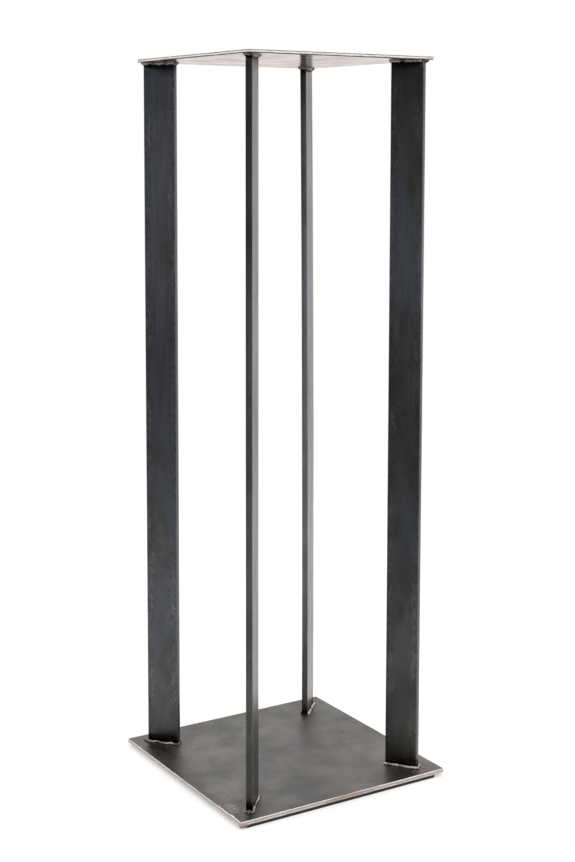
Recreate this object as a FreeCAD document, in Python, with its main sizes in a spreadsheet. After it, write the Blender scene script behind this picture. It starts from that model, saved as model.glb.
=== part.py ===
"""A welded steel pedestal for sculpture, as a parametric FreeCAD document.

A square top plate stands on four upright flat bars, which stand on a larger square base plate.
The bars sit on the plates' diagonals with their wide faces pointing at the middle, like the arms of an X,
and a fillet weld runs round every foot and every head. A rubber sheet under the base saves the floor.
Millimetres, +Z up. The origin is on the floor, under the middle of the base plate.
"""
import FreeCAD, Part

import math
import os

import Sketcher

Vector = FreeCAD.Vector

# ---------------------------------------------------------------- driving dimensions

SIZES = {
    # plates: a 14 in square of 1/4 in below, and a 12.5 in square of 3/16 in above, set down a little askew
    "base_side": 355.6,
    "top_side": 317.5,
    "top_turn": 1.4,
    "top_shift_x": -0.5,
    "top_shift_y": 0.3,
    "base_thick": 6.35,
    "top_thick": 4.76,
    "plate_corner": 2.5,
    "plate_bevel": 0.6,
    # legs, 2 in x 3/8 in hot-rolled flat bar
    "bar_width": 50.8,
    "bar_thick": 9.525,
    "bar_corner": 1.3,
    "leg_length": 1060.45,
    # welds: the fillet's leg, and its thickness where it runs out on the bar
    "bead_size": 5.0,
    "bead_lip": 0.5,
    "bead_gap": 0.06,
    "bead_setback": 0.4,
    # floor sheet, 13 in square, 3/16 in thick, glued a little off centre
    "sheet_side": 330.2,
    "sheet_thick": 4.76,
    "sheet_corner": 3.0,
    "sheet_shift_x": -2.2,
    "sheet_shift_y": -10.7,
    # where each leg was set: the direction of its corner, how far out its outer end reaches,
    # how far it stands off the diagonal, how far it is turned, and how far its head is sprung sideways
    "front_heading": -135.0,
    "front_reach": 212.5,
    "front_offset": -0.6,
    "front_twist": 4.6,
    "front_bow": 0.0,
    "right_heading": -45.0,
    "right_reach": 212.7,
    "right_offset": 1.8,
    "right_twist": -9.6,
    "right_bow": 0.0,
    "back_heading": 45.0,
    "back_reach": 217.2,
    "back_offset": -1.7,
    "back_twist": 1.1,
    "back_bow": -5.8,
    "left_heading": 135.0,
    "left_reach": 216.8,
    "left_offset": 1.4,
    "left_twist": -3.2,
    "left_bow": 0.0,
}
LEGS = ("front", "right", "back", "left")

# levels, as expressions on the sheet
BASE_BOTTOM = "Sizes.sheet_thick"
BASE_TOP = "Sizes.sheet_thick + Sizes.base_thick"
TOP_BOTTOM = "Sizes.sheet_thick + Sizes.base_thick + Sizes.leg_length"

BOW_STEPS = 4
VOLUME_SLACK = 0.03
FLAT = 1e-6

doc = FreeCAD.newDocument("pedestal")


def make_sheet():
    """The spreadsheet that holds every driving dimension, one alias a row."""
    sheet = doc.addObject("Spreadsheet::Sheet", "Sizes")
    for row, (alias, value) in enumerate(SIZES.items(), start=1):
        sheet.set(f"A{row}", alias)
        sheet.set(f"B{row}", str(value))
        sheet.setAlias(f"B{row}", alias)
    doc.recompute()
    return sheet


sizes = make_sheet()


def size(alias):
    """A driving dimension, as the sheet holds it."""
    return float(getattr(sizes, alias))


# ---------------------------------------------------------------- building blocks


def make_body(label):
    """An empty body with its own label."""
    body = doc.addObject("PartDesign::Body", label)
    body.Label = label
    return body


def sketch_on(body, role, name):
    """A new sketch on one of the body's own origin planes."""
    sketch = body.newObject("Sketcher::SketchObject", name)
    plane = next(f for f in body.Origin.OriginFeatures if f.Role == role)
    sketch.AttachmentSupport = [(plane, "")]
    sketch.MapMode = "FlatFace"
    return sketch


def set_size(sketch, constraint, expression):
    """Adds a driving constraint and binds it to an expression."""
    index = sketch.addConstraint(constraint)
    sketch.setExpression(f"Constraints[{index}]", expression)


def draw_rectangle(sketch, length_x, length_y, corner=None):
    """A rectangle about the sketch's origin, its sides and corner radius given as expressions."""
    half = 10.0
    radius = 1.0 if corner else 0.0
    lines = []
    arcs = []
    for quarter in range(4):
        turn = FreeCAD.Rotation(Vector(0, 0, 1), 90 * quarter)
        start = turn.multVec(Vector(-half + radius, -half, 0))
        end = turn.multVec(Vector(half - radius, -half, 0))
        lines.append(sketch.addGeometry(Part.LineSegment(start, end), False))
        if corner:
            centre = turn.multVec(Vector(half - radius, -half + radius, 0))
            circle = Part.Circle(centre, Vector(0, 0, 1), radius)
            first = math.radians(90 * quarter - 90)
            arc = Part.ArcOfCircle(circle, first, first + math.pi / 2)
            arcs.append(sketch.addGeometry(arc, False))
    for quarter in range(4):
        here = lines[quarter]
        following = lines[(quarter + 1) % 4]
        if corner:
            sketch.addConstraint(Sketcher.Constraint("Tangent", here, 2, arcs[quarter], 1))
            sketch.addConstraint(Sketcher.Constraint("Tangent", arcs[quarter], 2, following, 1))
        else:
            sketch.addConstraint(Sketcher.Constraint("Coincident", here, 2, following, 1))
        direction = "Vertical" if quarter % 2 else "Horizontal"
        sketch.addConstraint(Sketcher.Constraint(direction, here))
    bottom, right, top, left = lines
    if corner:
        for arc in arcs[1:]:
            sketch.addConstraint(Sketcher.Constraint("Equal", arcs[0], arc))
        set_size(sketch, Sketcher.Constraint("Radius", arcs[0], radius), corner)
    sketch.addConstraint(Sketcher.Constraint("Symmetric", bottom, 1, top, 1, -1, 1))
    set_size(sketch, Sketcher.Constraint("DistanceX", left, 1, right, 1, 2 * half), length_x)
    set_size(sketch, Sketcher.Constraint("DistanceY", bottom, 1, top, 1, 2 * half), length_y)


def level_edges(shape):
    """Names of the edges that lie flat in the top and bottom faces."""
    names = []
    for number, edge in enumerate(shape.Edges, start=1):
        box = edge.BoundBox
        at_face = min(abs(box.ZMin - shape.BoundBox.ZMin), abs(box.ZMax - shape.BoundBox.ZMax))
        if box.ZLength < FLAT and at_face < FLAT:
            names.append(f"Edge{number}")
    return names


def place(part, x, y, z, turn):
    """Binds a part's place to expressions: a point, and a turn about +Z in degrees."""
    part.Placement = FreeCAD.Placement(Vector(0, 0, 0), FreeCAD.Rotation(Vector(0, 0, 1), 1.0))
    part.setExpression("Placement.Base.x", x)
    part.setExpression("Placement.Base.y", y)
    part.setExpression("Placement.Base.z", z)
    part.setExpression("Placement.Rotation.Angle", turn)


# ---------------------------------------------------------------- plates and floor sheet


def make_slab(label, side, thick, corner, z, x="0", y="0", turn="0"):
    """A square slab with rounded corners, lying at height z."""
    body = make_body(label)
    outline = sketch_on(body, "XY_Plane", f"{label}_outline")
    draw_rectangle(outline, side, side, corner)
    slab = body.newObject("PartDesign::Pad", f"{label}_pad")
    slab.Profile = outline
    slab.setExpression("Length", thick)
    doc.recompute()
    place(body, x, y, z, turn)
    return body


def bevel_slab(body):
    """Grinds the arrises off a plate's top and bottom faces."""
    base = body.Tip
    bevel = body.newObject("PartDesign::Chamfer", f"{body.Label}_bevel")
    bevel.Base = (base, level_edges(base.Shape))
    bevel.setExpression("Size", "Sizes.plate_bevel")
    doc.recompute()


def make_plate(label, side, thick, z, x="0", y="0", turn="0"):
    """One of the two steel plates."""
    body = make_slab(label, side, thick, "Sizes.plate_corner", z, x, y, turn)
    bevel_slab(body)
    return body


# ---------------------------------------------------------------- legs


def leg_place(part, leg, z, along_bow="0"):
    """Stands a part at a leg: local +Y points out along the bar, local +X is to its side."""
    heading = f"Sizes.{leg}_heading"
    out = f"(Sizes.{leg}_reach - Sizes.bar_width / 2)"
    aside = f"Sizes.{leg}_offset"
    turn = f"({heading} + Sizes.{leg}_twist - 90)"
    x = f"cos({heading}) * {out} + sin({heading}) * {aside} + cos({turn}) * {along_bow}"
    y = f"sin({heading}) * {out} - cos({heading}) * {aside} + sin({turn}) * {along_bow}"
    place(part, x, y, z, turn)


def bar_section(body, name):
    """The rounded section of the flat bar, on the body's base plane."""
    sketch = sketch_on(body, "XY_Plane", name)
    draw_rectangle(sketch, "Sizes.bar_thick", "Sizes.bar_width", "Sizes.bar_corner")
    return sketch


def straight_bar(body, leg):
    """A straight leg: the bar's section, padded to its length."""
    bar = body.newObject("PartDesign::Pad", f"leg_{leg}_pad")
    bar.Profile = bar_section(body, f"leg_{leg}_section")
    bar.setExpression("Length", "Sizes.leg_length")


def bowed_bar(body, leg):
    """A leg whose head is sprung sideways: its sections shift with the square of their height.

    Every section is level, so both ends stay flat on the plates.
    """
    sections = []
    for step in range(BOW_STEPS + 1):
        share = step / BOW_STEPS
        section = bar_section(body, f"leg_{leg}_section_{step}")
        section.setExpression("AttachmentOffset.Base.x", f"Sizes.{leg}_bow * {share ** 2}")
        section.setExpression("AttachmentOffset.Base.z", f"Sizes.leg_length * {share}")
        sections.append(section)
    bar = body.newObject("PartDesign::AdditiveLoft", f"leg_{leg}_loft")
    bar.Profile = sections[0]
    bar.Sections = sections[1:]


def make_leg(leg):
    """One upright flat bar."""
    body = make_body(f"leg_{leg}")
    if size(f"{leg}_bow"):
        bowed_bar(body, leg)
    else:
        straight_bar(body, leg)
    doc.recompute()
    leg_place(body, leg, BASE_TOP)
    return body


# ---------------------------------------------------------------- welds


def make_bead_ring(label, gap, downwards):
    """A fillet weld round a bar's end: a tapered pad on the plate, with the bar's section cut out."""
    body = make_body(label)
    outer = sketch_on(body, "XY_Plane", f"{label}_toe")
    toe = "2 * Sizes.bead_size"
    round_the_arris = "Sizes.bead_size + Sizes.bar_corner"
    draw_rectangle(outer, f"Sizes.bar_thick + {toe}", f"Sizes.bar_width + {toe}", round_the_arris)
    bead = body.newObject("PartDesign::Pad", f"{label}_bead")
    bead.Profile = outer
    bead.Reversed = downwards
    bead.setExpression("Length", "Sizes.bead_size")
    bead.setExpression("TaperAngle", "-atan((Sizes.bead_size - Sizes.bead_lip) / Sizes.bead_size)")
    doc.recompute()
    solid = body.Tip.Shape.Volume
    inner = sketch_on(body, "XY_Plane", f"{label}_bar_section")
    draw_rectangle(inner, f"Sizes.bar_thick + 2 * {gap}", f"Sizes.bar_width + 2 * {gap}")
    hole = body.newObject("PartDesign::Pocket", f"{label}_hole")
    hole.Profile = inner
    hole.Type = "ThroughAll"
    hole.SideType = "Symmetric"
    doc.recompute()
    cut = size("bar_thick") * size("bar_width") * size("bead_size")
    if abs((solid - hole.Shape.Volume) / cut - 1) > VOLUME_SLACK:
        raise RuntimeError(f"{label}: the bar's section was not cut out of the weld")
    return body


def bead_gap(leg):
    """How far a weld stands off a leg: a bowed bar leans a little inside the upright hole in its weld."""
    return "Sizes.bead_gap" if size(f"{leg}_bow") else "0"


def make_foot_weld(leg):
    """The weld between a leg's foot and the base plate."""
    body = make_bead_ring(f"weld_foot_{leg}", bead_gap(leg), downwards=False)
    leg_place(body, leg, BASE_TOP)
    return body


def make_head_weld(leg, plate_outline):
    """The weld between a leg's head and the top plate, which stops short of the plate's edges."""
    ring = make_bead_ring(f"ring_head_{leg}", bead_gap(leg), downwards=True)
    leg_place(ring, leg, TOP_BOTTOM, f"Sizes.{leg}_bow")
    weld = doc.addObject("Part::Common", f"weld_head_{leg}")
    weld.Base = ring
    weld.Tool = plate_outline
    weld.Label = f"weld_head_{leg}"
    return weld


def make_plate_outline():
    """The space under the top plate that its edges leave to the head welds."""
    outline = doc.addObject("Part::Box", "under_top_plate")
    side = "(Sizes.top_side - 2 * Sizes.bead_setback)"
    outline.setExpression("Length", side)
    outline.setExpression("Width", side)
    outline.setExpression("Height", "2 * Sizes.bead_size")
    cosine = "cos(Sizes.top_turn * 1 deg)"
    sine = "sin(Sizes.top_turn * 1 deg)"
    place(
        outline,
        f"Sizes.top_shift_x - {side} / 2 * ({cosine} - {sine})",
        f"Sizes.top_shift_y - {side} / 2 * ({cosine} + {sine})",
        f"{TOP_BOTTOM} - 2 * Sizes.bead_size",
        "Sizes.top_turn",
    )
    return outline


# ---------------------------------------------------------------- assembly


def make_parts():
    """Every sub-part, in the order that the pedestal goes together."""
    parts = [
        make_slab(
            "floor_sheet",
            "Sizes.sheet_side",
            "Sizes.sheet_thick",
            "Sizes.sheet_corner",
            "0",
            "Sizes.sheet_shift_x",
            "Sizes.sheet_shift_y",
        ),
        make_plate("base_plate", "Sizes.base_side", "Sizes.base_thick", BASE_BOTTOM),
    ]
    parts += [make_leg(leg) for leg in LEGS]
    parts += [make_foot_weld(leg) for leg in LEGS]
    parts.append(
        make_plate(
            "top_plate",
            "Sizes.top_side",
            "Sizes.top_thick",
            TOP_BOTTOM,
            "Sizes.top_shift_x",
            "Sizes.top_shift_y",
            "Sizes.top_turn",
        )
    )
    outline = make_plate_outline()
    parts += [make_head_weld(leg, outline) for leg in LEGS]
    return parts


def check_document():
    """Stops if any object of the document failed to recompute."""
    doc.recompute()
    for thing in doc.Objects:
        if "Invalid" in thing.State or "Error" in thing.State:
            raise RuntimeError(f"{thing.Label} did not recompute: {thing.State}")


def check_part(part):
    """Stops if a sub-part is not one valid solid."""
    shape = part.Shape
    if shape.isNull() or not shape.isValid() or len(shape.Solids) != 1:
        raise RuntimeError(f"{part.Label} is not one valid solid")


def export(part):
    """Writes a sub-part to the file that its label names."""
    part.Shape.exportStep(os.path.join("parts", f"{part.Label}.step"))
    box = part.Shape.BoundBox
    spans = [(box.XMin, box.XMax), (box.YMin, box.YMax), (box.ZMin, box.ZMax)]
    print(part.Label, [f"{low:.1f}..{high:.1f}" for low, high in spans], f"{part.Shape.Volume:.0f} mm3")


parts = make_parts()
check_document()
for part in parts:
    check_part(part)
os.makedirs("parts", exist_ok=True)
for part in parts:
    export(part)
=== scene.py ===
"""Looks for the welded steel sculpture pedestal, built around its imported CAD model."""
import math
import random

import bpy
import numpy as np
from mathutils import Matrix, Vector, noise


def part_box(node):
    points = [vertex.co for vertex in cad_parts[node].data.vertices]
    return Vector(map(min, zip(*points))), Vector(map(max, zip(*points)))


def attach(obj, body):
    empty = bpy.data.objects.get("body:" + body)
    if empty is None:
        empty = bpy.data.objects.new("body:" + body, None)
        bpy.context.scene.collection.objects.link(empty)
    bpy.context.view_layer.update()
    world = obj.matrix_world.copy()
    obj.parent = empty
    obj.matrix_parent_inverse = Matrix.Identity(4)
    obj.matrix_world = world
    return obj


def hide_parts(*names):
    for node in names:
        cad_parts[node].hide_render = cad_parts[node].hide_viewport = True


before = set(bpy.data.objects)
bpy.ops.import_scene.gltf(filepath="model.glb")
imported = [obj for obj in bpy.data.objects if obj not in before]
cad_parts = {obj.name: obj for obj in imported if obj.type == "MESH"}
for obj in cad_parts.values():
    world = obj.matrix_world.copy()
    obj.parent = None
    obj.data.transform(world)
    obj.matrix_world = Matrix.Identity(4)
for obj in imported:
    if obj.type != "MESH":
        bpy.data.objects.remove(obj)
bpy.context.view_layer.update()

MM = 0.001
LEGS = ("front", "right", "back", "left")
BODY = "root"

# ---------------------------------------------------------------- frame readings


def leg_section(node):
    """Where a leg stands: its foot's centre, outward and sideways directions, half sizes and bow.

    The foot's outline is turned until its box is narrowest, which finds the bar's own axes.
    """
    points = np.array([v.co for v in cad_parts[node].data.vertices])
    low = points[:, 2].min()
    high = points[:, 2].max()
    foot = points[points[:, 2] < low + 1e-5][:, :2]
    head = points[points[:, 2] > high - 1e-5][:, :2]

    def spans(angle):
        out = np.array([math.cos(angle), math.sin(angle)])
        side = np.array([out[1], -out[0]])
        return out, side, foot @ out, foot @ side

    def thickness(angle):
        across = spans(angle)[3]
        return across.max() - across.min()

    middle = (foot.min(0) + foot.max(0)) / 2
    heading = math.atan2(middle[1], middle[0])
    turns = np.radians(np.linspace(-15, 15, 6001))
    angle = heading + min(turns, key=lambda turn: thickness(heading + turn))
    out, side, along, across = spans(angle)
    centre = out * (along.max() + along.min()) / 2 + side * (across.max() + across.min()) / 2
    bow = ((head.min(0) + head.max(0)) - (foot.min(0) + foot.max(0))) / 2
    return {
        "centre": Vector((*centre, 0)),
        "out": Vector((*out, 0)),
        "side": Vector((*side, 0)),
        "angle": angle,
        "half_width": (along.max() - along.min()) / 2,
        "half_thick": (across.max() - across.min()) / 2,
        "bow": Vector((*bow, 0)),
        "low": low,
        "high": high,
    }


def plate_frame(node):
    """Where a square plate lies: its middle, half side, turn about Z, and its two levels."""
    points = np.array([v.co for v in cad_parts[node].data.vertices])
    low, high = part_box(node)
    flat = points[:, :2]

    def width(angle):
        across = flat @ np.array([math.cos(angle), math.sin(angle)])
        return across.max() - across.min()

    turn = min(np.radians(np.linspace(-3, 3, 1201)), key=width)
    return {
        "middle": Vector(((low.x + high.x) / 2, (low.y + high.y) / 2, 0)),
        "half": width(turn) / 2,
        "turn": turn,
        "low": low.z,
        "high": high.z,
    }


def plate_spot(plate, point):
    """A point given in a plate's own axes, in the row frame."""
    return Matrix.Rotation(plate["turn"], 4, "Z") @ point + plate["middle"]


def mark_spot(plate, x, y, up):
    """Where a mark on a plate is: from the frame's axis and up from the plate's underside, in mm."""
    return (x * MM, y * MM, plate["low"] + up * MM)


SECTIONS = {leg: leg_section(f"leg_{leg}") for leg in LEGS}
BASE = plate_frame("base_plate")
TOP = plate_frame("top_plate")
ARRIS = {"front": 0.5 * MM, "right": 1.0 * MM, "back": 0.6 * MM, "left": 1.0 * MM}

# ---------------------------------------------------------------- mesh helpers


def make_object(name, vertices, faces, materials, smooth=True):
    """A mesh object, linked to the scene, with its faces' normals pointing out."""
    mesh = bpy.data.meshes.new(name)
    mesh.from_pydata([tuple(v) for v in vertices], [], faces)
    mesh.validate()
    for material in materials:
        mesh.materials.append(material)
    mesh.polygons.foreach_set("use_smooth", [smooth] * len(mesh.polygons))
    mesh.update()
    thing = bpy.data.objects.new(name, mesh)
    bpy.context.scene.collection.objects.link(thing)
    return thing


def finish_piece(thing, node):
    """Rides a new piece on the pedestal in place of a CAD node."""
    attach(thing, BODY)
    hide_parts(node)


def set_attribute(thing, name, values):
    """Stores one number per vertex."""
    attribute = thing.data.attributes.new(name, "FLOAT", "POINT")
    attribute.data.foreach_set("value", list(values))


def ripple(point, scale, seed):
    """Smooth noise from -1 to 1 at a point in metres, with features about 1/scale metres across."""
    return noise.noise(Vector(point) * scale + Vector((seed * 7.31, seed * 3.17, seed * 5.93)))


# ---------------------------------------------------------------- shader helpers


class Nodes:
    """Adds shader nodes in few words."""

    def __init__(self, tree):
        self.tree = tree

    def add(self, kind, inputs=None, **settings):
        node = self.tree.nodes.new(kind)
        for key, value in settings.items():
            setattr(node, key, value)
        for key, value in (inputs or {}).items():
            if isinstance(value, bpy.types.NodeSocket):
                self.tree.links.new(value, node.inputs[key])
            else:
                node.inputs[key].default_value = value
        return node

    def math(self, operation, a, b=0.5, c=0.5, clamp=False):
        node = self.add("ShaderNodeMath", {0: a, 1: b, 2: c}, operation=operation, use_clamp=clamp)
        return node.outputs[0]

    def times(self, a, b):
        return self.math("MULTIPLY", a, b)

    def swing(self, fuzz, size):
        """Noise from 0 to 1 turned into a wobble about 0, size wide in all."""
        return self.times(self.math("SUBTRACT", fuzz, 0.5), size)

    def ramp(self, value, low, high, out_low=0.0, out_high=1.0):
        node = self.add(
            "ShaderNodeMapRange",
            {"Value": value, 1: low, 2: high, 3: out_low, 4: out_high},
            interpolation_type="SMOOTHSTEP",
        )
        return node.outputs[0]

    def noise(self, vector, scale, detail=2.0, rough=0.5):
        node = self.add(
            "ShaderNodeTexNoise",
            {"Vector": vector, "Scale": scale, "Detail": detail, "Roughness": rough},
        )
        return node.outputs[0]

    def stretch(self, vector, scale, offset=(0, 0, 0), turn=(0, 0, 0)):
        node = self.add(
            "ShaderNodeMapping",
            {"Vector": vector, "Scale": scale, "Location": offset, "Rotation": turn},
        )
        return node.outputs[0]

    def shifted(self, vector, offset):
        return self.stretch(vector, (1, 1, 1), offset=offset)

    def mix(self, factor, a, b):
        node = self.add("ShaderNodeMix", data_type="RGBA", blend_type="MIX")
        for socket, value in ((0, factor), (6, a), (7, b)):
            if isinstance(value, bpy.types.NodeSocket):
                self.tree.links.new(value, node.inputs[socket])
            elif socket == 0:
                node.inputs[socket].default_value = value
            else:
                node.inputs[socket].default_value = (*value, 1.0)
        return node.outputs[2]

    def bump(self, height, distance, strength=1.0, normal=None):
        inputs = {"Height": height, "Distance": distance, "Strength": strength}
        if normal is not None:
            inputs["Normal"] = normal
        return self.add("ShaderNodeBump", inputs).outputs[0]

    def patch(self, position, centre, radii, fuzz):
        """1 inside an ellipsoid round centre, 0 outside, its rim roughened by fuzz (0.5 on average)."""
        local = self.add("ShaderNodeVectorMath", {0: position, 1: centre}, operation="SUBTRACT").outputs[0]
        scaled = self.stretch(local, tuple(1 / radius for radius in radii))
        length = self.add("ShaderNodeVectorMath", {0: scaled}, operation="LENGTH").outputs["Value"]
        ragged = self.math("ADD", length, self.swing(fuzz, 1.6))
        return self.ramp(ragged, 1.1, 0.6)

    def scale(self, vector, factor):
        node = self.add("ShaderNodeVectorMath", {0: vector, "Scale": factor}, operation="SCALE")
        return node.outputs[0]

    def bands(self, value, stops):
        """A colour ramp from (position, colour) pairs."""
        node = self.add("ShaderNodeValToRGB", {"Fac": value})
        ramp = node.color_ramp
        while len(ramp.elements) < len(stops):
            ramp.elements.new(0.5)
        for element, (place, colour) in zip(ramp.elements, stops):
            element.position = place
            element.color = (*colour, 1.0)
        return node.outputs[0]

    def position(self):
        return self.add("ShaderNodeTexCoord").outputs["Object"]

    def attribute(self, name):
        return self.add("ShaderNodeAttribute", attribute_name=name).outputs["Fac"]

    def split(self, vector):
        return self.add("ShaderNodeSeparateXYZ", {"Vector": vector}).outputs


def new_material(name):
    """A node material with a Principled shader: the helper, the shader node and the material."""
    material = bpy.data.materials.new(name)
    material.use_nodes = True
    tree = material.node_tree
    shader = next(n for n in tree.nodes if n.type == "BSDF_PRINCIPLED")
    return Nodes(tree), shader, material


def link(nodes, shader, **sockets):
    """Links or sets the shader's sockets, named with _ for a space."""
    for name, value in sockets.items():
        socket = shader.inputs[name.replace("_", " ")]
        if isinstance(value, bpy.types.NodeSocket):
            nodes.tree.links.new(value, socket)
        else:
            socket.default_value = value


# ---------------------------------------------------------------- materials

SCALE_BLUE = (0.078, 0.084, 0.103)
SCALE_GREY = (0.080, 0.081, 0.079)
SCALE_DARK = (0.055, 0.056, 0.053)
STREAK = (0.12, 0.12, 0.12)
GRAIN = (0.13, 0.12, 0.11)
PIT = (0.028, 0.029, 0.026)
FLECK = (0.185, 0.175, 0.16)
SCUFF = (0.20, 0.205, 0.215)
# Bare steel at the arrises, partly a painted highlight along them.
ARRIS_RUB_AND_HIGHLIGHT = (0.27, 0.235, 0.21)
PLATE_PALE = (0.185, 0.172, 0.160)
PLATE_GRAIN = (0.20, 0.19, 0.18)
HEAT_TINT = (0.13, 0.095, 0.075)
DRAWN_DARK = (0.16, 0.13, 0.12)
TICK = (0.85, 0.82, 0.80)
RUST = (0.34, 0.235, 0.185)
WELD = (0.46, 0.45, 0.43)
WELD_PINK = (0.46, 0.395, 0.375)
WELD_RUST = (0.20, 0.14, 0.11)
OXIDE = (0.05, 0.045, 0.04)
# Painted shade on both ends of each bar, where they meet the plates.
PAINTED_END_SHADE = (0.018, 0.018, 0.016)
RUBBER = (0.012, 0.012, 0.012)
DUST = (0.045, 0.043, 0.04)
WHITE = (1.0, 1.0, 1.0)
# How far the painted shade at a bar's ends reaches along it.
END_SHADE_REACH = 24 * MM
# Heat tint is full this near a leg and gone this far from it, give or take half the wobble.
TINT_CORE = 7 * MM
TINT_REACH = 22 * MM
TINT_WOBBLE = 18 * MM


def weld_distance(nodes, position, head):
    """How far a point of a plate is from the nearest leg's section, in metres."""
    nearest = None
    for section in SECTIONS.values():
        centre = section["centre"] + (section["bow"] if head else Vector((0, 0, 0)))
        local = nodes.add("ShaderNodeVectorMath", {0: position, 1: centre}, operation="SUBTRACT")
        turned = nodes.add(
            "ShaderNodeVectorRotate",
            {"Vector": local.outputs[0], "Angle": -section["angle"]},
            rotation_type="Z_AXIS",
        )
        size = nodes.add("ShaderNodeVectorMath", {0: turned.outputs[0]}, operation="ABSOLUTE")
        half = (section["half_width"], section["half_thick"], 10.0)
        beyond = nodes.add("ShaderNodeVectorMath", {0: size.outputs[0], 1: half}, operation="SUBTRACT")
        clipped = nodes.add(
            "ShaderNodeVectorMath", {0: beyond.outputs[0], 1: (0, 0, 0)}, operation="MAXIMUM"
        )
        length = nodes.add("ShaderNodeVectorMath", {0: clipped.outputs[0]}, operation="LENGTH")
        distance = length.outputs["Value"]
        nearest = distance if nearest is None else nodes.math("MINIMUM", nearest, distance)
    return nearest


def plate_clouds(nodes, moved, blotches, tones):
    """Cool and warm clouds, dull blotches and pale patches."""
    cool, warm, dull = tones
    clouds = nodes.noise(moved, 9.0, 4.0, 0.55)
    pale = nodes.noise(nodes.shifted(moved, (8, 4, 0)), 11.0, 4.0, 0.58)
    colour = nodes.mix(nodes.ramp(clouds, 0.40, 0.62), cool, warm)
    colour = nodes.mix(nodes.times(nodes.ramp(blotches, 0.36, 0.70), 0.34), colour, dull)
    return nodes.mix(nodes.times(nodes.ramp(pale, 0.42, 0.72), 0.42), colour, PLATE_PALE)


def plate_marks(nodes, here, blotches, marks, colour):
    """Handling marks, broken up into fine scuffs: each has a place, a size, a colour and a strength."""
    scuffs = nodes.stretch(here, (200, 560, 200), turn=(0, 0, 0.6))
    speckle = nodes.ramp(nodes.noise(scuffs, 1.0, 5.0, 0.75), 0.42, 0.62)
    for centre, radii, tone, strength in marks:
        spot = nodes.patch(here, centre, radii, blotches)
        share = nodes.times(spot, nodes.times(speckle, strength))
        colour = nodes.mix(share, colour, tone)
    return colour


def plate_material(name, head, seed, base_rough, tones, grazing=WHITE, marks=()):
    """Mill scale on a plate's faces: clouds of grey and brown, fine grain, heat tint at the welds."""
    nodes, shader, material = new_material(name)
    here = nodes.position()
    moved = nodes.shifted(here, (seed, seed * 2, 0))
    blotches = nodes.noise(nodes.shifted(moved, (3, 1, 0)), 26.0, 5.0, 0.6)
    grain = nodes.noise(moved, 420.0, 4.0, 0.65)
    light = nodes.ramp(grain, 0.45, 0.75)
    colour = plate_clouds(nodes, moved, blotches, tones)
    colour = nodes.mix(nodes.times(light, 0.35), colour, PLATE_GRAIN)
    colour = plate_marks(nodes, here, blotches, marks, colour)

    ring = nodes.math("ADD", weld_distance(nodes, here, head), nodes.swing(blotches, TINT_WOBBLE))
    tint = nodes.ramp(ring, TINT_REACH, TINT_CORE)
    colour = nodes.mix(nodes.times(tint, 0.55), colour, HEAT_TINT)

    rough = nodes.ramp(blotches, 0.3, 0.7, base_rough, base_rough + 0.12)
    rough = nodes.math("ADD", rough, nodes.times(light, 0.06))
    rolled = nodes.noise(nodes.stretch(moved, (9, 220, 1)), 1.0, 3.0, 0.6)
    waves = nodes.noise(moved, 14.0, 1.0)
    pebble = nodes.bump(grain, 0.06 * MM)
    lines = nodes.bump(rolled, 0.03 * MM, normal=pebble)
    normal = nodes.bump(waves, 0.6 * MM, normal=lines)
    link(nodes, shader, Base_Color=colour, Metallic=1.0, Roughness=rough, Normal=normal)
    shader.inputs["Specular Tint"].default_value = (*grazing, 1.0)
    return material


def edge_material(name, seed, stops, blooms):
    """A plate edge in bands from the top arris (0) to the bottom one (1), partly painted highlight and
    shade, with marks drawn along it.

    blooms are patches of light rust: the place and the size of each.
    """
    nodes, shader, material = new_material(name)
    here = nodes.position()
    moved = nodes.shifted(here, (seed, seed, 0))
    drawn = nodes.noise(nodes.stretch(moved, (55, 55, 650)), 1.0, 4.0, 0.65)
    ticks = nodes.noise(nodes.stretch(moved, (420, 420, 90)), 1.0, 2.0, 0.5)
    patches = nodes.noise(moved, 75.0, 4.0, 0.6)
    fuzz = nodes.noise(nodes.shifted(moved, (5, 2, 0)), 22.0, 4.0, 0.6)
    ragged = nodes.math("ADD", nodes.attribute("down"), nodes.swing(patches, 0.34))
    # Bands down the edge, partly painted highlight and shade.
    colour = nodes.bands(ragged, stops)
    colour = nodes.mix(nodes.ramp(drawn, 0.42, 0.60, 0.30, 0.0), colour, DRAWN_DARK)
    colour = nodes.mix(nodes.ramp(ticks, 0.55, 0.75, 0.0, 0.35), colour, TICK)
    for centre, radii in blooms:
        spot = nodes.patch(here, centre, radii, fuzz)
        colour = nodes.mix(nodes.times(spot, 0.65), colour, RUST)
    rough = nodes.ramp(drawn, 0.3, 0.7, 0.46, 0.58)
    normal = nodes.bump(drawn, 0.1 * MM)
    link(nodes, shader, Base_Color=colour, Metallic=1.0, Roughness=rough, Normal=normal)
    return material


def bar_scale_colour(nodes, here, broad, streaks, grain):
    """Dark, grey and blue patches with faint streaks and fine grain."""
    tone = nodes.noise(nodes.stretch(here, (22, 22, 8), offset=(6, 2, 5)), 1.0, 3.0, 0.55)
    blue = nodes.math("ADD", nodes.attribute("blue"), nodes.swing(tone, 3.2))
    colour = nodes.mix(nodes.ramp(broad, 0.36, 0.64), SCALE_DARK, SCALE_GREY)
    colour = nodes.mix(nodes.ramp(blue, 0.0, 1.0, 0.0, 0.9), colour, SCALE_BLUE)
    colour = nodes.mix(nodes.ramp(streaks, 0.48, 0.78, 0.0, 0.14), colour, STREAK)
    return nodes.mix(nodes.ramp(grain, 0.52, 0.8, 0.0, 0.35), colour, GRAIN)


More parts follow.
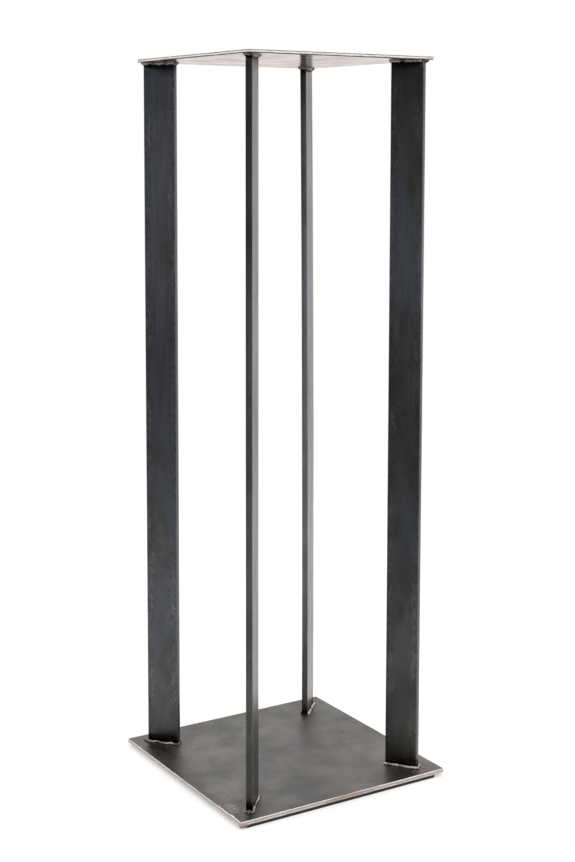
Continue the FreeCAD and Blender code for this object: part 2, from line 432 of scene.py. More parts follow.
def bar_mottling(nodes, here, broad, edge, colour):
    """Pits and flecks, thicker towards the arrises, and a scuffed band just inside them."""
    mottle = nodes.noise(nodes.stretch(here, (1, 1, 0.7), offset=(1, 3, 7)), 170.0, 5.0, 0.7)
    rim = nodes.math("ADD", edge, nodes.swing(broad, 1.6))
    fringe = nodes.ramp(rim, 0.30, 0.95, 0.14, 1.0)
    pits = nodes.times(fringe, nodes.ramp(mottle, 0.50, 0.36, 0.0, 0.62))
    colour = nodes.mix(pits, colour, PIT)
    flecks = nodes.times(fringe, nodes.ramp(mottle, 0.53, 0.70, 0.0, 0.36))
    colour = nodes.mix(flecks, colour, FLECK)
    band = nodes.times(nodes.ramp(edge, 0.50, 0.68), nodes.ramp(edge, 0.90, 0.78))
    dots = nodes.noise(nodes.stretch(here, (1, 1, 0.8), offset=(5, 1, 4)), 480.0, 3.0, 0.6)
    bare = nodes.times(nodes.ramp(broad, 0.48, 0.62), nodes.ramp(dots, 0.50, 0.64, 0.0, 0.55))
    return nodes.mix(nodes.times(band, bare), colour, SCUFF)


def bar_end_shade(nodes, here, broad, colour):
    """Painted shade at both ends of a bar, darkening it where it meets the plates."""
    height = nodes.math("ADD", nodes.split(here)[2], nodes.swing(broad, 30 * MM))
    foot = nodes.ramp(height, BASE["high"] + END_SHADE_REACH, BASE["high"])
    head = nodes.ramp(height, TOP["low"] - END_SHADE_REACH, TOP["low"])
    return nodes.mix(nodes.times(nodes.math("MAXIMUM", foot, head), 0.85), colour, PAINTED_END_SHADE)


def bar_rub_and_highlight(nodes, here, edge):
    """How far the scale is rubbed off an arris, with a painted highlight lightening the band just inside
    it.
    """
    specks = nodes.noise(nodes.stretch(here, (1, 1, 0.35), offset=(2, 8, 1)), 300.0, 2.0, 0.5)
    rub_and_highlight = nodes.times(nodes.attribute("arris_rub_and_highlight"), nodes.ramp(specks, 0.30, 0.62, 0.35, 1.0))
    # A painted highlight just inside each arris of the wide faces.
    return nodes.math("MAXIMUM", rub_and_highlight, nodes.ramp(edge, 0.90, 0.99, 0.0, 0.45))


def bar_material(name):
    """Mill scale on flat bar: blue and green-black patches, fine mottling, arrises rubbed bare and
    lightened by a painted highlight, painted shade at both ends.

    The attributes shade and blue give each bar's own tone, and shade also holds painted light and shade
    along the bar and on its wide faces. The arris attribute and rim say how near a point is to an arris.
    """
    nodes, shader, material = new_material(name)
    here = nodes.position()
    streaks = nodes.noise(nodes.stretch(here, (150, 150, 8)), 1.0, 4.0, 0.6)
    broad = nodes.noise(nodes.stretch(here, (34, 34, 14), offset=(4, 9, 2)), 1.0, 5.0, 0.6)
    grain = nodes.noise(nodes.stretch(here, (1, 1, 0.5)), 650.0, 4.0, 0.7)
    edge = nodes.attribute("rim")
    colour = bar_scale_colour(nodes, here, broad, streaks, grain)
    colour = bar_mottling(nodes, here, broad, edge, colour)
    # Each bar's tone, with painted light and shade along it.
    colour = nodes.scale(colour, nodes.attribute("shade"))
    # Painted shade at both ends of the bar, next to the plates.
    colour = bar_end_shade(nodes, here, broad, colour)
    rub_and_highlight = bar_rub_and_highlight(nodes, here, edge)
    # Bare steel at the arrises, partly a painted highlight.
    colour = nodes.mix(rub_and_highlight, colour, ARRIS_RUB_AND_HIGHLIGHT)
    rough = nodes.ramp(streaks, 0.3, 0.7, 0.25, 0.36)
    rough = nodes.math("ADD", rough, nodes.times(rub_and_highlight, 0.12))
    waves = nodes.noise(nodes.stretch(here, (22, 22, 5)), 1.0, 1.0)
    pebble = nodes.bump(grain, 0.05 * MM)
    lines = nodes.bump(streaks, 0.03 * MM, normal=pebble)
    normal = nodes.bump(waves, 0.3 * MM, normal=lines)
    link(nodes, shader, Base_Color=colour, Metallic=1.0, Roughness=rough, Normal=normal)
    return material


def weld_material(name, glow):
    """As-welded bead: bright crests, dark oxide down between the ripples.

    glow is how bright the crests are where they are sooty, and where they are clean.
    """
    nodes, shader, material = new_material(name)
    here = nodes.position()
    grain = nodes.noise(here, 900.0, 4.0, 0.6)
    patches = nodes.noise(here, 85.0, 4.0, 0.65)
    shine = nodes.math("ADD", nodes.attribute("crest"), nodes.swing(grain, 0.7))
    cleaned = nodes.ramp(patches, 0.40, 0.58)
    sooty_glow, clean_glow = glow
    level = nodes.ramp(cleaned, 0.0, 1.0, sooty_glow, clean_glow)
    bright = nodes.times(nodes.ramp(shine, 0.25, 0.85), level)
    pink = nodes.ramp(nodes.noise(nodes.shifted(here, (3, 5, 1)), 38.0, 3.0, 0.5), 0.42, 0.58)
    colour = nodes.mix(bright, OXIDE, nodes.mix(pink, WELD, WELD_PINK))
    colour = nodes.mix(nodes.ramp(patches, 0.62, 0.74, 0.0, 0.45), colour, WELD_RUST)
    rough = nodes.ramp(shine, 0.1, 0.8, 0.6, 0.34)
    normal = nodes.bump(grain, 0.12 * MM)
    link(nodes, shader, Base_Color=colour, Metallic=1.0, Roughness=rough, Normal=normal)
    return material


def rubber_material(name):
    """Matte black sheet rubber with a fine cloth-pressed grain and dusty patches."""
    nodes, shader, material = new_material(name)
    here = nodes.position()
    grain = nodes.noise(here, 1400.0, 2.0, 0.5)
    dust = nodes.noise(here, 45.0, 4.0, 0.6)
    colour = nodes.mix(nodes.ramp(dust, 0.45, 0.75, 0.0, 0.5), RUBBER, DUST)
    rough = nodes.ramp(grain, 0.3, 0.7, 0.72, 0.88)
    normal = nodes.bump(grain, 0.1 * MM)
    link(nodes, shader, Base_Color=colour, Roughness=rough, Normal=normal)
    return material


# ---------------------------------------------------------------- plates

DOT_SIDES = 7
DOT_LEVELS = (-0.6, 0.0, 0.6)
DOT_CREST = 0.8


def add_dot(vertices, faces, crests, centre, radius):
    """Appends a small closed blob."""
    first = len(vertices)
    for level in DOT_LEVELS:
        wide = radius * math.sqrt(1 - level ** 2)
        for step in range(DOT_SIDES):
            angle = math.tau * step / DOT_SIDES
            offset = Vector((wide * math.cos(angle), wide * math.sin(angle), radius * level))
            vertices.append(centre + offset)
    vertices.append(centre - Vector((0, 0, radius)))
    vertices.append(centre + Vector((0, 0, radius)))
    bottom = len(vertices) - 2
    top = len(vertices) - 1
    crests.extend([DOT_CREST] * (len(vertices) - first))
    last = first + (len(DOT_LEVELS) - 1) * DOT_SIDES
    for step in range(DOT_SIDES):
        following = (step + 1) % DOT_SIDES
        for level in range(len(DOT_LEVELS) - 1):
            here = first + level * DOT_SIDES
            above = here + DOT_SIDES
            faces.append((here + step, here + following, above + following, above + step))
        faces.append((first + following, first + step, bottom))
        faces.append((last + step, last + following, top))


EDGE_PITCH = 1.3 * MM
# How far down the edge each row of its points counts as, for the bands of colour.
EDGE_SHARES = (0.0, 0.08, 0.16, 0.42, 0.70, 0.88, 1.0)
# The places of a plate's materials in its list.
FACE, EDGE, DRIP, UNDERSIDE = range(4)


def square_outline(half, corners):
    """Points and outward normals anticlockwise round a square with its own radius at each corner.

    corners goes with the corners at -X -Y, +X -Y, +X +Y and -X +Y.
    """
    marks = []
    signs = ((-1, -1), (1, -1), (1, 1), (-1, 1))
    for index, (sx, sy) in enumerate(signs):
        radius = corners[index]
        centre = Vector((sx * (half - radius), sy * (half - radius), 0))
        first = math.pi + index * math.pi / 2
        steps = max(4, round(radius * math.pi / 2 / EDGE_PITCH) * 2)
        for step in range(steps + 1):
            angle = first + math.pi / 2 * step / steps
            normal = Vector((math.cos(angle), math.sin(angle), 0))
            marks.append((centre + normal * radius, normal))
        next_radius = corners[(index + 1) % 4]
        run = 2 * half - radius - next_radius
        along = Vector((-normal.y, normal.x, 0))
        count = round(run / EDGE_PITCH)
        for step in range(1, count):
            marks.append((centre + normal * radius + along * run * step / count, normal))
    return marks


def nick_depth(point, normal, half, nicks, seed):
    """How deep the torch scars on the -X side are at a point of the outline."""
    depth = 0.0
    if normal.x > -0.9:
        return depth
    for place, reach, deepest in nicks:
        distance = abs(point.y + half - place) / reach
        if distance < 1:
            depth += deepest * (1 - distance ** 2) * (1 + 0.8 * ripple(point, 420, seed + 5))
    return depth


def edge_profile(plate, point, normal, bevel, nicks, seed):
    """How far in, and at what height, each row of a plate's edge is at a point of its outline."""
    top_bevel, bottom_bevel = bevel
    wave = 0.18 * MM * (1 + ripple(point, 35, seed))
    fine = 0.06 * MM * (1 + ripple(point, 320, seed + 1))
    top = top_bevel * (1 + 0.45 * ripple(point, 55, seed + 2) + 0.25 * ripple(point, 260, seed + 3))
    bottom = bottom_bevel * (1 + 0.5 * ripple(point, 60, seed + 4))
    scar = nick_depth(point, normal, plate["half"], nicks, seed)
    low = plate["low"]
    high = plate["high"]
    face = high - low - top - bottom
    return (
        (wave + top + scar * 1.1, high),
        (wave + top * 0.45 + scar * 0.9, high - top * 0.38),
        (wave + scar * 0.7, high - top),
        (wave + fine + 0.12 * MM + scar * 0.45, high - top - face * 0.35),
        (wave + fine * 1.5 + 0.16 * MM + scar * 0.2, low + bottom + face * 0.3),
        (wave, low + bottom),
        (wave + bottom, low),
    )


def plate_slot(polygon, first_drip):
    """Which of a plate's materials a polygon takes."""
    is_face = len(polygon.vertices) > 4
    if is_face:
        return UNDERSIDE if polygon.normal.z < 0 else FACE
    return DRIP if polygon.index >= first_drip else EDGE


def make_plate(name, node, plate, materials, corners, bevel, seed, nicks=(), drops=()):
    """A sheared and ground steel plate: bevelled arrises of uneven width on a slightly wavy edge.

    bevel is how far the top and the bottom arris are ground back. nicks are torch scars on the -X side:
    how far each is from the front corner, its half length and its depth. drops are blobs of weld metal.
    """
    marks = square_outline(plate["half"], corners)
    vertices = []
    for point, normal in marks:
        for inset, z in edge_profile(plate, point, normal, bevel, nicks, seed):
            spot = Vector((point.x - normal.x * inset, point.y - normal.y * inset, z))
            vertices.append(plate_spot(plate, spot))
    rows = len(EDGE_SHARES)
    count = len(marks)
    faces = []
    for index in range(count):
        here = index * rows
        there = (index + 1) % count * rows
        for row in range(rows - 1):
            faces.append((here + row, here + row + 1, there + row + 1, there + row))
    faces.append([index * rows for index in range(count)])
    faces.append([index * rows + rows - 1 for index in reversed(range(count))])
    down = list(EDGE_SHARES * count)
    first_drip = len(faces)
    for spot, radius in drops:
        add_dot(vertices, faces, down, plate_spot(plate, Vector(spot)), radius)
    slab = make_object(name, vertices, faces, materials)
    for polygon in slab.data.polygons:
        polygon.material_index = plate_slot(polygon, first_drip)
        polygon.use_smooth = polygon.material_index in (EDGE, DRIP)
    set_attribute(slab, "down", down)
    set_attribute(slab, "crest", down)
    finish_piece(slab, node)


# ---------------------------------------------------------------- legs

RING_PITCH = 14 * MM
BARREL = 0.22 * MM
BAR_DENT = 0.05 * MM
BAR_ARC_STEPS = 5
BAR_SIDE_STEPS = (14, 8)
NARROW_RIM = 0.25
# How light each bar's mill scale is and how blue it is, at even steps from foot to head. The lightness is
# partly the scale's own tone and partly painted light and shade, standing in for the reflections and shade
# along each bar.
BAR_TONES_AND_PAINTED_LIGHT = {
    "front": (0.64, 0.92, 0.94, 0.98, 0.84, 0.58, 0.46),
    "right": (1.15, 0.82, 0.70, 0.66, 0.76, 1.28, 1.02, 0.58),
    "back": (2.4, 1.5, 1.7, 1.9, 1.9, 1.4, 0.70),
    "left": (0.92, 1.08, 1.00, 0.90, 0.88, 1.22, 1.36, 1.00),
}
# How much lighter again the wide faces are than that, at even steps from foot to head: painted light and
# shade on the wide faces alone.
WIDE_FACE_PAINTED_LIGHT = {"back": (0.9, 1.5, 1.3, 0.6, 0.7, 0.9, 1.1)}
BLUES = {
    "front": (0.1, 0.2, 0.2, 0.4, 0.3, 0.2),
    "right": (-0.2, 0.0, 0.3, 0.0, -0.1, 0.9, 0.5, 0.2),
    "back": (0.2, 0.1, 0.1, 0.2),
    "left": (0.1, 0.3, 0.5, 0.6, 0.6, 0.8, 0.9, 0.9),
}


def section_outline(half_x, half_y, radius, arc_steps, side_steps):
    """Points, outward normals and arris weights round a rounded rectangle, anticlockwise."""
    marks = []
    signs = ((1, -1), (1, 1), (-1, 1), (-1, -1))
    for index, (sx, sy) in enumerate(signs):
        centre = Vector((sx * (half_x - radius), sy * (half_y - radius), 0))
        first = -math.pi / 2 + index * math.pi / 2
        for step in range(arc_steps + 1):
            angle = first + math.pi / 2 * step / arc_steps
            normal = Vector((math.cos(angle), math.sin(angle), 0))
            weight = math.sin(math.pi * step / arc_steps) ** 0.5
            marks.append((centre + normal * radius, normal, weight))
        run = 2 * (half_y - radius) if index % 2 == 0 else 2 * (half_x - radius)
        along = Vector((-normal.y, normal.x, 0))
        steps = side_steps[index % 2]
        for step in range(1, steps):
            marks.append((centre + normal * radius + along * run * step / steps, normal, 0.0))
    return marks


def between(steps, share):
    """A value from a row of even steps, a share of the way along it."""
    place = share * (len(steps) - 1)
    below = min(int(place), len(steps) - 2)
    blend = place - below
    blend = blend * blend * (3 - 2 * blend)
    return steps[below] * (1 - blend) + steps[below + 1] * blend


def leg_point(section, x, y, z):
    """A point of a leg: x to its side, y outward, z above the base plate, with the leg's bow."""
    share = z / (section["high"] - section["low"])
    place = section["centre"] + section["side"] * x + section["out"] * y + section["bow"] * share ** 2
    return Vector((place.x, place.y, section["low"] + z))


def bar_point(section, point, normal, z, seed):
    """A point of a bar's skin: pressed in by shallow dents, and by the barrel of the narrow faces."""
    place = leg_point(section, point.x, point.y, z)
    dent = BAR_DENT * (1 + ripple((place.x, place.y, z * 0.35), 60, seed))
    if abs(normal.y) > 0.5:
        dent += BARREL * (point.x / section["half_thick"]) ** 2
    return leg_point(section, point.x - normal.x * dent, point.y - normal.y * dent, z)


def tube_faces(rings, count):
    """The faces of a closed tube of rings with count points each."""
    faces = []
    for ring in range(rings):
        for index in range(count):
            here = ring * count + index
            there = ring * count + (index + 1) % count
            faces.append((here, there, there + count, here + count))
    faces.append(list(reversed(range(count))))
    faces.append([rings * count + index for index in range(count)])
    return faces


def make_leg(leg, material):
    """A hot-rolled flat bar: faces a little uneven, narrow faces slightly barrelled, arrises rounded."""
    section = SECTIONS[leg]
    seed = LEGS.index(leg) + 10
    length = section["high"] - section["low"]
    sizes = (section["half_thick"], section["half_width"])
    marks = section_outline(*sizes, ARRIS[leg], BAR_ARC_STEPS, BAR_SIDE_STEPS)
    rings = round(length / RING_PITCH)
    vertices = []
    looks = {"arris_rub_and_highlight": [], "rim": [], "shade": [], "blue": []}
    for ring in range(rings + 1):
        share = ring / rings
        z = length * ring / rings
        # Tone along the bar, partly painted light and shade.
        tone = between(BAR_TONES_AND_PAINTED_LIGHT[leg], share)
        wide_face_light = tone * between(WIDE_FACE_PAINTED_LIGHT.get(leg, (1.0, 1.0)), share)
        looks["blue"].extend([between(BLUES[leg], share)] * len(marks))
        for point, normal, weight in marks:
            place = leg_point(section, point.x, point.y, z)
            is_wide = abs(normal.x) > 0.7
            vertices.append(bar_point(section, point, normal, z, seed))
            # How much arris colour a point takes: rubbed steel and painted highlight.
            looks["arris_rub_and_highlight"].append(weight * (0.62 + 0.5 * ripple(place, 22, seed + 4)))
            looks["rim"].append(abs(point.y) / section["half_width"] if is_wide else NARROW_RIM)
            looks["shade"].append(wide_face_light if is_wide else tone)
    bar = make_object(f"bar_{leg}", vertices, tube_faces(rings, len(marks)), [material])
    for polygon in bar.data.polygons:
        polygon.use_smooth = len(polygon.vertices) == 4
    for name, values in looks.items():
        set_attribute(bar, name, values)
    finish_piece(bar, f"leg_{leg}")


# ---------------------------------------------------------------- welds

BEAD_STEPS = 9
BEAD_ARC_STEPS = 6
BEAD_PITCH = 0.55 * MM
RIPPLE_PITCH = 2.6 * MM
RIPPLE_LAG = 0.405
SINK = 0.3 * MM
HEAD_MARGIN = 0.6 * MM
# How far a bead reaches and climbs, in mm, and how hollow its section is: it bulges under 1, and is
# hollow over 1.
FOOT_BEAD = (3.8, 3.6)
HEAD_BEAD = (4.4, 3.9)
FOOT_HOLLOW = 0.85
HEAD_HOLLOW = 1.45
# A bead's reach, climb and brightness on its leg's outer, inner, +side and -side faces, against the usual
# bead. The brightness is partly painted light and shade, darker on faces that lie in shade.
PLAIN_BEAD = ((1.0, 1.0, 1.0), (0.45, 1.0, 1.0), (1.0, 1.0, 1.0), (1.0, 1.0, 1.0))
FOOT_BEADS = {
    "front": ((1.70, 0.75, 0.60), (0.6, 1.0, 1.0), (0.30, 0.6, 0.6), (0.85, 1.15, 1.0)),
    "back": ((1.0, 1.0, 1.0), (0.12, 0.12, 0.3), (1.0, 1.0, 1.1), (0.5, 1.0, 0.5)),
    "left": ((1.0, 0.85, 0.8), (0.45, 0.9, 0.8), (1.0, 0.85, 0.75), (1.0, 0.85, 0.75)),
}
# Blobs where a foot bead was started or stopped: sideways and outward from the leg's middle, and
# radius, in mm.
FOOT_BLOBS = {
    "front": ((5.4, 28.2, 1.3), (-6.6, -24.5, 2.0)),
    "right": ((7.2, 22.5, 1.9), (5.4, 28.4, 1.7)),
    "left": ((-3.0, 31.0, 1.8), (-6.6, 23.5, 1.7)),
}


SPATTER_COUNT = 22
SPATTER_NEAR = 6 * MM
SPATTER_FAR = 16 * MM
SPATTER_MARGIN = 3 * MM


def add_spatter(vertices, faces, crests, section, seed):
    """Scatters small balls of spatter, sunk into the base plate, round a foot weld."""
    dice = random.Random(seed)
    for _ in range(SPATTER_COUNT):
        angle = dice.uniform(0, math.tau)
        reach = dice.uniform(SPATTER_NEAR, SPATTER_FAR) * dice.uniform(0.8, 1.4)
        x = math.cos(angle) * (section["half_thick"] + reach)
        y = math.sin(angle) * (section["half_width"] + reach)
        spot = section["centre"] + section["side"] * x + section["out"] * y
        if max(abs(spot.x), abs(spot.y)) > BASE["half"] - SPATTER_MARGIN:
            continue
        radius = dice.uniform(0.35, 0.85) * MM
        middle = Vector((spot.x, spot.y, section["low"] + radius * 0.25))
        add_dot(vertices, faces, crests, middle, radius)


def bead_size(leg, head, point, normal, seed):
    """At one place along a bead: how far it reaches and climbs, its brightness and its pulse."""
    sides = PLAIN_BEAD if head else FOOT_BEADS.get(leg, PLAIN_BEAD)
    base_reach, base_climb = HEAD_BEAD if head else FOOT_BEAD
    shares = [max(0, way) ** 2 for way in (normal.y, -normal.y, normal.x, -normal.x)]
    wider, higher, shine = (sum(a * b for a, b in zip(shares, column)) for column in zip(*sides))
    spot = (point.x, point.y, 0)
    lump = ripple(spot, 130, seed) + 0.5 * ripple(spot, 330, seed + 1)
    reach = (base_reach + 1.5 * lump) * MM * wider
    climb = (base_climb + 1.3 * ripple(spot, 150, seed + 2)) * MM * higher
    pulse = max(0.0, min(1.0, 0.6 + 0.9 * ripple(spot, 110, seed + 4)))
    return reach, climb, shine, pulse


def bead_point(section, head, place, up):
    """A point of a bead: place in the leg's own section, and how far up from the plate it is welded to."""
    length = section["high"] - section["low"]
    return leg_point(section, place.x, place.y, length - up if head else up)


def under_top(spot):
    """The nearest spot that is still under the top plate."""
    limit = TOP["half"] - HEAD_MARGIN
    local = Matrix.Rotation(-TOP["turn"], 4, "Z") @ (spot - TOP["middle"])
    local.x = max(-limit, min(limit, local.x))
    local.y = max(-limit, min(limit, local.y))
    return plate_spot(TOP, local)


def bead_column(section, head, point, normal, size, travelled, seed):
    """The rounded skin and the buried back of a bead at one place: its points, and how bright each is."""
    reach, climb, shine, pulse = size
    hollow = HEAD_HOLLOW if head else FOOT_HOLLOW
    wander = 0.5 * ripple((point.x, point.y, 0), 200, seed + 3)
    spots = []
    crests = []
    for step in range(BEAD_STEPS):
        share = step / (BEAD_STEPS - 1)
        angle = share * math.pi / 2
        swell = math.sin(math.pi * share)
        phase = travelled / RIPPLE_PITCH + RIPPLE_LAG * swell + wander
        wave = abs(math.sin(math.pi * phase)) ** 0.7
        size_here = (1 + 0.13 * (wave - 0.6) * swell ** 0.5) * (1 + 0.10 * swell)
        out = reach * math.cos(angle) ** hollow * size_here
        up = climb * math.sin(angle) ** hollow * size_here
        spot = bead_point(section, head, point + normal * out, up)
        if head:
            spot = under_top(spot)
        if step == 0:
            spot.z += SINK if head else -SINK
        spots.append(spot)
        full = 0.35 + 0.65 * math.sin(math.pi * min(1.0, share + 0.06)) ** 0.6
        # Crest brightness, with each face's painted light and shade.
        crests.append((0.40 + 0.30 * pulse + 0.30 * wave) * full * shine)
    for up in (climb, -SINK):
        spots.append(bead_point(section, head, point - normal * SINK, up))
        crests.append(0.0)
    return spots, crests


def bead_faces(count, rows, head):
    """The faces of a ring of count columns with rows points each, facing out."""
    faces = []
    for index in range(count):
        here = index * rows
        there = (index + 1) % count * rows
        for row in range(rows):
            following = (row + 1) % rows
            quad = (here + row, there + row, there + following, here + following)
            faces.append(tuple(reversed(quad)) if head else quad)
    return faces


def make_weld(leg, end, material):
    """A hand-laid fillet bead round a leg's foot or head: ripples, lumps and a wandering toe."""
    section = SECTIONS[leg]
    head = end == "head"
    seed = LEGS.index(leg) * 5 + (40 if head else 20)
    sizes = (section["half_thick"], section["half_width"])
    side_steps = (round(2 * sizes[1] / BEAD_PITCH), round(2 * sizes[0] / BEAD_PITCH))
    marks = section_outline(*sizes, ARRIS[leg], BEAD_ARC_STEPS, side_steps)
    travelled = 0.0
    previous = marks[-1][0]
    vertices = []
    crests = []
    for point, normal, _ in marks:
        travelled += (point - previous).length
        previous = point
        size = bead_size(leg, head, point, normal, seed)
        spots, shines = bead_column(section, head, point, normal, size, travelled, seed)
        vertices.extend(spots)
        crests.extend(shines)
    faces = bead_faces(len(marks), BEAD_STEPS + 2, head)
    if not head:
        add_spatter(vertices, faces, crests, section, seed)
        for aside, outward, radius in FOOT_BLOBS.get(leg, ()):
            centre = leg_point(section, aside * MM, outward * MM, radius * MM * 0.7)
            add_dot(vertices, faces, crests, centre, radius * MM)
    weld = make_object(f"bead_{end}_{leg}", vertices, faces, [material])
    set_attribute(weld, "crest", crests)
    finish_piece(weld, f"weld_{end}_{leg}")


# ---------------------------------------------------------------- camera, light and floor

SENSOR = 36.0
LENS = 63.63
SHIFT_Y = -0.1556
CAMERA_PLACE = Vector((-1.1973, -1.9384, 0.9488))
CAMERA_AZIMUTH = -31.879
CAMERA_PITCH = -5.701
CAMERA_ROLL = 0.115
CAMERA_SIGHT = 60.0
FLOOR_RADIUS = 2.6
FLOOR_FADE = 0.9
FLOOR_STEPS = 96
FLOOR_PAPER = 0.5
FLOOR_GLOW = 0.48
DIM_AZIMUTH = 193
DIM_LIGHT = 0.36
SIDE_LIGHT = 1.05
OVERHEAD_LIGHT = 1.5


def make_camera():
    """The photo's camera, as solved from the straight edges of the plates and bars."""
    data = bpy.data.cameras.new("camera")
    data.sensor_width = SENSOR
    data.lens = LENS
    data.shift_y = SHIFT_Y
    data.clip_end = CAMERA_SIGHT
    camera = bpy.data.objects.new("camera", data)
    turn = Matrix.Rotation(math.radians(CAMERA_AZIMUTH), 4, "Z")
    tilt = Matrix.Rotation(math.radians(90 + CAMERA_PITCH), 4, "X")
    roll = Matrix.Rotation(math.radians(CAMERA_ROLL), 4, "Z")
    camera.matrix_world = Matrix.Translation(CAMERA_PLACE) @ turn @ tilt @ roll
    bpy.context.scene.collection.objects.link(camera)
    bpy.context.scene.camera = camera


def floor_material():
    """White paper lit partly from below like a light table, fading out towards the floor's rim."""
    material = bpy.data.materials.new("studio_floor")
    material.use_nodes = True
    tree = material.node_tree
    tree.nodes.clear()
    nodes = Nodes(tree)
    paper = nodes.add("ShaderNodeBsdfDiffuse", {"Color": (FLOOR_PAPER, FLOOR_PAPER, FLOOR_PAPER, 1)})
    glow = nodes.add("ShaderNodeEmission", {"Color": (1, 1, 1, 1), "Strength": FLOOR_GLOW})
    lit = nodes.add("ShaderNodeAddShader", {0: paper.outputs[0], 1: glow.outputs[0]})
    reach = nodes.add("ShaderNodeVectorMath", {0: nodes.position()}, operation="LENGTH").outputs["Value"]
    fade = nodes.ramp(reach, FLOOR_FADE, FLOOR_RADIUS)
    clear = nodes.add("ShaderNodeBsdfTransparent")
    mixed = nodes.add("ShaderNodeMixShader", {0: fade, 1: lit.outputs[0], 2: clear.outputs[0]})
    output = nodes.add("ShaderNodeOutputMaterial")
    tree.links.new(mixed.outputs[0], output.inputs[0])
    return material


def make_floor():
    """A round white studio floor."""
    vertices = []
    for step in range(FLOOR_STEPS):
        angle = math.tau * step / FLOOR_STEPS
        vertices.append((FLOOR_RADIUS * math.cos(angle), FLOOR_RADIUS * math.sin(angle), 0))
    disc = list(range(FLOOR_STEPS))
    floor = make_object("floor", vertices, [disc], [floor_material()], smooth=False)


def make_world():
    """A white studio: bright all round and above, dim in one quarter on the camera's left."""
    world = bpy.data.worlds.new("studio")
    bpy.context.scene.world = world
    world.use_nodes = True
    tree = world.node_tree
    tree.nodes.clear()
    nodes = Nodes(tree)
    direction = nodes.add("ShaderNodeTexCoord").outputs["Generated"]
    angle = math.radians(DIM_AZIMUTH)
    dim_way = Vector((math.cos(angle), math.sin(angle), 0))
    facing = nodes.add("ShaderNodeVectorMath", {0: direction, 1: dim_way}, operation="DOT_PRODUCT")
    side = nodes.ramp(facing.outputs["Value"], 0.74, 0.99, SIDE_LIGHT, DIM_LIGHT)
    lifted = nodes.ramp(nodes.split(direction)[2], 0.25, 0.8)
    overhead = {0: lifted, 2: side, 3: OVERHEAD_LIGHT}
    light = nodes.add("ShaderNodeMix", overhead, data_type="FLOAT").outputs[0]
    seen = nodes.add("ShaderNodeLightPath").outputs["Is Camera Ray"]
    strength = nodes.add("ShaderNodeMix", {0: seen, 2: light, 3: 1.0}, data_type="FLOAT").outputs[0]
    background = nodes.add("ShaderNodeBackground", {"Color": (1, 1, 1, 1), "Strength": strength})
    output = nodes.add("ShaderNodeOutputWorld")
    tree.links.new(background.outputs[0], output.inputs[0])


def set_look():
    """Plain display colours, so that white paper is white."""
    view = bpy.context.scene.view_settings
    view.view_transform = "Standard"
    view.look = "None"


# ---------------------------------------------------------------- assembly

# Handling marks on the base plate: place, size (metres), colour and strength.
BASE_MARKS = (
    (mark_spot(BASE, -165, -130, 6.24), (0.012, 0.021, 0.02), (0.36, 0.31, 0.275), 0.85),
    (mark_spot(BASE, -142, -68, 6.24), (0.030, 0.050, 0.02), (0.26, 0.24, 0.22), 0.42),
    (mark_spot(BASE, -156, 98, 6.24), (0.024, 0.044, 0.02), (0.015, 0.015, 0.015), 1.0),
    (mark_spot(BASE, 138, -158, 6.24), (0.030, 0.020, 0.02), (0.03, 0.03, 0.03), 0.6),
)
# Rust on the plates' edges: place and size.
BASE_BLOOMS = (
    (mark_spot(BASE, 5, -178, 2.74), (0.045, 0.01, 0.004)),
    (mark_spot(BASE, -173, -178, 0.24), (0.008, 0.006, 0.0035)),
)
TOP_BLOOMS = (
    (mark_spot(TOP, -163, 152, 0.84), (0.01, 0.013, 0.0016)),
    (mark_spot(TOP, 152, -155, 0.84), (0.016, 0.01, 0.0016)),
)
# Cool, warm and dull tones of the plates' scale; the underside's are paler and pinker, a painted
# reflection of the bright floor below.
FACE_TONES = ((0.094, 0.095, 0.095), (0.140, 0.130, 0.119), (0.070, 0.069, 0.068))
UNDERSIDE_TONES_AND_SHEEN = ((0.235, 0.205, 0.195), (0.29, 0.24, 0.22), (0.15, 0.14, 0.135))
UNDER_GRAZING = (1.0, 0.93, 0.90)
# The plates' edges in bands of colour, from the top arris (0) to the bottom one (1): ground steel and
# brown scale, with the pale bands lightened into painted highlights and the dark bands partly painted
# shade.
BASE_EDGE_BANDS_AND_LIGHT = (
    (0.0, (0.84, 0.79, 0.77)),
    (0.24, (0.84, 0.79, 0.77)),
    (0.36, (0.40, 0.34, 0.32)),
    (0.60, (0.46, 0.40, 0.38)),
    (0.72, (0.72, 0.66, 0.64)),
    (0.92, (0.62, 0.56, 0.54)),
    (1.0, (0.20, 0.15, 0.13)),
)
TOP_EDGE_BANDS_AND_LIGHT = (
    (0.0, (0.07, 0.066, 0.066)),
    (0.20, (0.20, 0.19, 0.19)),
    (0.32, (0.90, 0.85, 0.84)),
    (0.62, (0.93, 0.88, 0.87)),
    (0.72, (0.34, 0.28, 0.26)),
    (0.80, (0.09, 0.065, 0.055)),
    (1.0, (0.05, 0.038, 0.034)),
)
# How bright the weld crests are, sooty and clean; the head welds take a dimmer copy as painted shade under
# the top plate.
FOOT_GLOW = (0.35, 1.15)
HEAD_GLOW_PAINTED_SHADE = (0.0, 0.44)
# The drip of weld metal under the base plate's front corner: places and radii.
CORNER_DRIP = (
    (mark_spot(BASE, -175.0, -175.0, -0.56), 2.6 * MM),
    (mark_spot(BASE, -172.2, -175.3, -1.76), 2.4 * MM),
    (mark_spot(BASE, -169.7, -175.6, -1.96), 2.1 * MM),
    (mark_spot(BASE, -167.1, -176.4, -1.16), 1.35 * MM),
    (mark_spot(BASE, -165.0, -176.75, -0.56), 0.9 * MM),
)
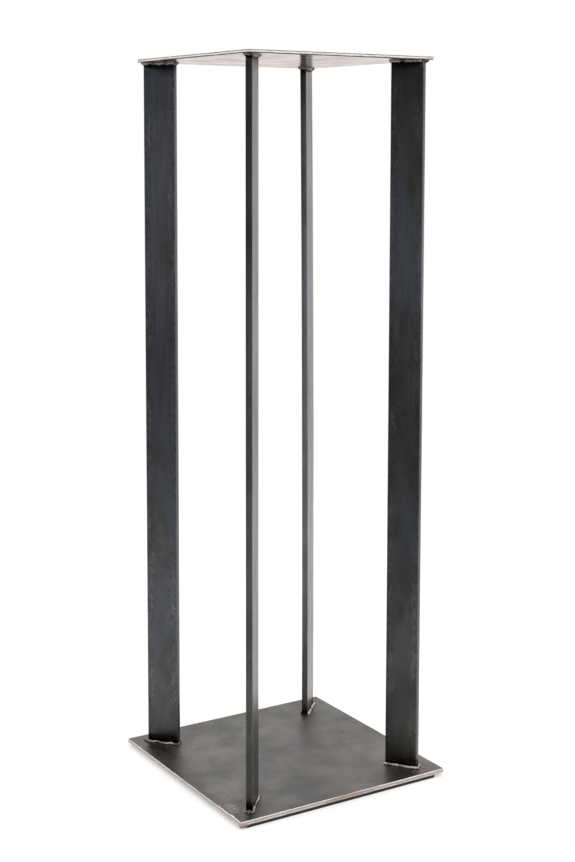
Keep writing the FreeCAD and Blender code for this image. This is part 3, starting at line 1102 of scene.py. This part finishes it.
# Torch scars: how far each is from the front corner, its half length and its depth.
BASE_NICKS = (
    (56 * MM, 12 * MM, 1.5 * MM),
    (40 * MM, 5 * MM, 1.3 * MM),
    (27 * MM, 9 * MM, 1.9 * MM),
    (9 * MM, 15 * MM, 1.5 * MM),
)
# Corner radii at -X -Y, +X -Y, +X +Y and -X +Y, and how far the top and the bottom arris are ground back.
BASE_CORNERS = (2.6 * MM, 1.2 * MM, 1.5 * MM, 1.2 * MM)
BASE_BEVEL = (0.45 * MM, 0.6 * MM)
TOP_CORNERS = (0.9 * MM, 1.8 * MM, 1.5 * MM, 1.0 * MM)
TOP_BEVEL = (0.75 * MM, 0.5 * MM)


def make_base(foot_metal):
    """The base plate, with its torch scars and the drip at its front corner."""
    face = plate_material("mill_scale_base", False, 0.0, 0.38, FACE_TONES, marks=BASE_MARKS)
    edge = edge_material("ground_edge_base", 0.0, BASE_EDGE_BANDS_AND_LIGHT, BASE_BLOOMS)
    materials = [face, edge, foot_metal, face]
    make_plate(
        "plate_base",
        "base_plate",
        BASE,
        materials,
        BASE_CORNERS,
        BASE_BEVEL,
        1,
        nicks=BASE_NICKS,
        drops=CORNER_DRIP,
    )


def make_top(head_metal):
    """The top plate, with an underside painted paler as a reflection of the floor."""
    face = plate_material("mill_scale_top", True, 7.0, 0.32, FACE_TONES)
    # The underside's paler scale is a painted reflection of the floor.
    underside = plate_material("mill_scale_underside_painted_sheen", True, 4.0, 0.12, UNDERSIDE_TONES_AND_SHEEN, UNDER_GRAZING)
    edge = edge_material("ground_edge_top", 3.0, TOP_EDGE_BANDS_AND_LIGHT, TOP_BLOOMS)
    materials = [face, edge, head_metal, underside]
    make_plate("plate_top", "top_plate", TOP, materials, TOP_CORNERS, TOP_BEVEL, 2)


def dress_sheet():
    """The floor sheet keeps its CAD mesh and gets a rubber material."""
    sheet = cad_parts["floor_sheet"]
    sheet.data.materials.clear()
    sheet.data.materials.append(rubber_material("sheet_rubber"))


foot_metal = weld_material("weld_metal_feet", FOOT_GLOW)
# The head welds' dimmer weld metal is painted shade under the top plate.
head_metal = weld_material("weld_metal_heads_painted_shade", HEAD_GLOW_PAINTED_SHADE)
bar_scale = bar_material("mill_scale_bar")
make_base(foot_metal)
make_top(head_metal)
for leg in LEGS:
    make_leg(leg, bar_scale)
    make_weld(leg, "foot", foot_metal)
    make_weld(leg, "head", head_metal)
dress_sheet()

make_camera()
make_floor()
make_world()
set_look()
